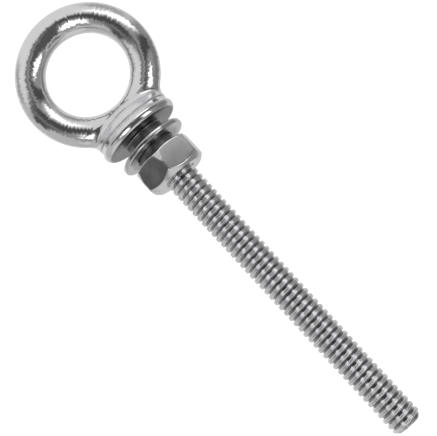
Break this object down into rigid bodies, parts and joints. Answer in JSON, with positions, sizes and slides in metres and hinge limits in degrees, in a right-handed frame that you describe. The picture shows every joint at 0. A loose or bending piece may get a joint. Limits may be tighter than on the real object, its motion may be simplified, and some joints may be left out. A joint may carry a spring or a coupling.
{
  "type": "eye bolt",
  "caption": "Eye bolt with a ring on a flared, collared shoulder, a fully threaded shank, a flat washer and a hex nut; the nut unscrews along the thread.",
  "frame": {"origin": "centre of the collar's flat seat, on the shank's axis", "axes": "+Z along the shank's axis towards the eye; the shank and its thread run down -Z; the eye lies in the XZ plane, so the axis of its hole is Y"},
  "size_m": [0.027, 0.016, 0.0987],
  "materials": {
    "eye_bolt": "mirror-polished stainless steel",
    "flat_washer": "polished stainless steel, stamped",
    "hex_nut": "stainless steel, smooth drawn flats"
  },
  "bodies": {
    "eye_bolt": {"eye_bolt": "eye_bolt"},
    "flat_washer": {"flat_washer": "flat_washer"},
    "hex_nut": {"hex_nut": "hex_nut"}
  },
  "joints": [
    {"name": "washer_slide", "type": "slide", "parent": "eye_bolt", "child": "flat_washer", "axis": [0, 0, -1], "range_m": [0, 0.0686]},
    {"name": "nut_turn", "type": "hinge", "parent": "flat_washer", "child": "hex_nut", "pos_m": [0, 0, -0.0049], "axis": [0, 0, -1], "range_deg": [0, 19440]}
  ],
  "couplings": [
    {"joint": "washer_slide", "follows": "nut_turn", "m_per_rad": 0.00020213}
  ]
}
